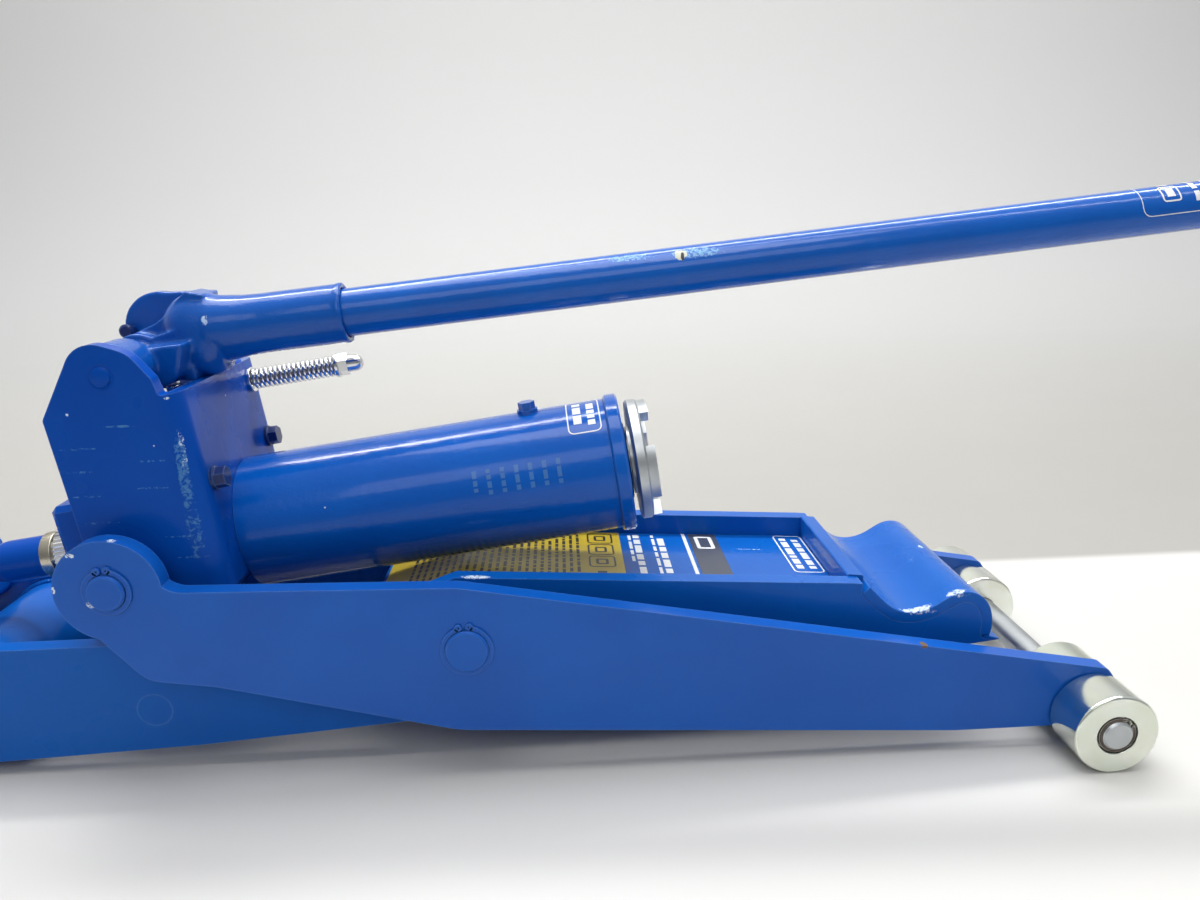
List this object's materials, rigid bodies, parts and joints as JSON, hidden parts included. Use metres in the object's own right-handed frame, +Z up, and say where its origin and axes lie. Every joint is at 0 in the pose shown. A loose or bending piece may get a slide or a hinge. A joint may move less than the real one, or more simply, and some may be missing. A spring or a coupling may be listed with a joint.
{
  "type": "forklift jack",
  "caption": "Low-profile hydraulic scissor jack for lift trucks: wave-shaped toe, tilting cylinder with a castle saddle, and a long pump handle.",
  "frame": {"origin": "on the floor under the middle of the bounding box, with the handle in its socket", "axes": "+X towards the lifting toe and the front rollers, +Y to the left, +Z up"},
  "size_m": [1.2691, 0.219, 0.3468],
  "materials": {
    "arm_paint": "semi-gloss blue enamel with light orange peel",
    "tray_paint": "gloss blue enamel, worn on the toe edge",
    "unit_paint": "gloss blue enamel with fine scratches",
    "handle_paint": "gloss blue enamel with orange peel and chips",
    "zinc": "zinc plate with a faint yellow-green passivation",
    "chrome": "bright nickel-chrome plate",
    "steel": "ground bare steel",
    "dark_clip": "oiled black spring steel",
    "brass": "dull brass",
    "black_plastic": "moulded matt black"
  },
  "bodies": {
    "front_axle": {"front_axle": "zinc", "front_axle_clips": "dark_clip"},
    "roller_left_inner": {"roller_left_inner": "zinc"},
    "roller_left_outer": {"roller_left_outer": "zinc"},
    "roller_right_inner": {"roller_right_inner": "zinc"},
    "roller_right_outer": {"roller_right_outer": "zinc"},
    "lift_arms": {"lift_arm_left": "arm_paint", "lift_arm_right": "arm_paint", "scissor_shaft": "arm_paint", "scissor_shaft_clips": "arm_paint", "scissor_spacers": "arm_paint", "trunnion_pin_left": "arm_paint", "trunnion_pin_right": "arm_paint", "trunnion_clips": "arm_paint", "trunnion_spacers": "arm_paint"},
    "inner_frame": {"frame_plate_left": "arm_paint", "frame_plate_right": "arm_paint", "lifting_toe": "tray_paint", "tray_floor": "tray_paint", "tray_cross_bar": "tray_paint", "frame_tie_bar": "arm_paint", "rear_cross_tube": "arm_paint", "ram_cradle_left": "arm_paint", "ram_cradle_right": "arm_paint", "rear_axle": "zinc", "rear_axle_clips": "dark_clip", "rear_washers": "zinc"},
    "rear_wheel_left": {"rear_wheel_left": "zinc"},
    "rear_wheel_right": {"rear_wheel_right": "zinc"},
    "power_unit": {"housing": "unit_paint", "pump_block": "unit_paint", "reservoir_tube": "unit_paint", "reservoir_cap": "unit_paint", "pressure_cylinder": "steel", "filler_plug": "unit_paint", "gland_nut": "chrome", "front_screws": "unit_paint", "lever_shaft": "unit_paint", "pump_barrel": "steel", "spring_seat": "chrome", "return_spring": "chrome"},
    "ram": {"ram_piston": "steel", "ram_rod": "steel", "rod_wiper_ring": "brass", "rod_end": "unit_paint", "rod_end_pin": "zinc"},
    "head_saddle": {"head_saddle": "chrome"},
    "release_knob": {"release_knob": "chrome"},
    "pump_lever": {"pump_lever": "handle_paint", "lever_stop_pin": "steel"},
    "handle": {"handle_tube": "handle_paint", "handle_end_plug": "black_plastic"},
    "pump_plunger": {"pump_plunger": "chrome"},
    "guide_rod": {"guide_rod": "chrome", "spring_collar": "chrome", "acorn_nut": "chrome"}
  },
  "joints": [
    {"name": "roller_left_inner_spin", "type": "hinge", "parent": "front_axle", "child": "roller_left_inner", "pos_m": [0.07401, 0, 0.0225], "axis": [0, 1, 0], "continuous": true},
    {"name": "roller_left_outer_spin", "type": "hinge", "parent": "front_axle", "child": "roller_left_outer", "pos_m": [0.07401, 0, 0.0225], "axis": [0, 1, 0], "continuous": true},
    {"name": "roller_right_inner_spin", "type": "hinge", "parent": "front_axle", "child": "roller_right_inner", "pos_m": [0.07401, 0, 0.0225], "axis": [0, 1, 0], "continuous": true},
    {"name": "roller_right_outer_spin", "type": "hinge", "parent": "front_axle", "child": "roller_right_outer", "pos_m": [0.07401, 0, 0.0225], "axis": [0, 1, 0], "continuous": true},
    {"name": "arm_lift", "type": "hinge", "parent": "front_axle", "child": "lift_arms", "pos_m": [0.07401, 0, 0.0225], "axis": [0, 1, 0], "range_deg": [0, 36]},
    {"name": "frame_fold", "type": "hinge", "parent": "lift_arms", "child": "inner_frame", "pos_m": [-0.26409, 0, 0.0757], "axis": [0, 1, 0], "range_deg": [-71.7, 0]},
    {"name": "rear_wheel_left_spin", "type": "hinge", "parent": "inner_frame", "child": "rear_wheel_left", "pos_m": [-0.60329, 0, 0.03], "axis": [0, 1, 0], "continuous": true},
    {"name": "rear_wheel_right_spin", "type": "hinge", "parent": "inner_frame", "child": "rear_wheel_right", "pos_m": [-0.60329, 0, 0.03], "axis": [0, 1, 0], "continuous": true},
    {"name": "unit_tilt", "type": "hinge", "parent": "lift_arms", "child": "power_unit", "pos_m": [-0.44119, 0, 0.1169], "axis": [0, 1, 0], "range_deg": [-91.6, 0]},
    {"name": "ram_extend", "type": "slide", "parent": "power_unit", "child": "ram", "axis": [-0.9917, 0, -0.1288], "range_m": [0, 0.198]},
    {"name": "saddle_swivel", "type": "hinge", "parent": "power_unit", "child": "head_saddle", "pos_m": [-0.16948, 0, 0.15219], "axis": [0.9917, 0, 0.1288], "continuous": true},
    {"name": "release_turn", "type": "hinge", "parent": "power_unit", "child": "release_knob", "pos_m": [-0.47998, 0.034, 0.13606], "axis": [0.9917, 0, 0.1288], "range_deg": [0, 270]},
    {"name": "lever_pump", "type": "hinge", "parent": "power_unit", "child": "pump_lever", "pos_m": [-0.437, 0, 0.22202], "axis": [0, 1, 0], "range_deg": [-45, 0]},
    {"name": "plunger_stroke", "type": "slide", "parent": "power_unit", "child": "pump_plunger", "axis": [-0.1288, 0, 0.9917], "range_m": [0, 0.01364]},
    {"name": "guide_rod_slide", "type": "slide", "parent": "power_unit", "child": "guide_rod", "axis": [0.9917, 0, 0.1288], "range_m": [0, 0.01883], "deforming": ["return_spring"]},
    {"name": "handle_pull", "type": "slide", "parent": "pump_lever", "child": "handle", "axis": [0.9957, 0, 0.0931], "range_m": [0, 0.066]}
  ],
  "couplings": [
    {"joint": "frame_fold", "follows": "arm_lift", "ratio": -1.9867},
    {"joint": "unit_tilt", "follows": "arm_lift", "ratio": -2.5385},
    {"joint": "ram_extend", "follows": "arm_lift", "m_per_rad": 0.31416},
    {"joint": "plunger_stroke", "follows": "lever_pump", "m_per_rad": -0.01699},
    {"joint": "guide_rod_slide", "follows": "lever_pump", "m_per_rad": -0.023588}
  ]
}
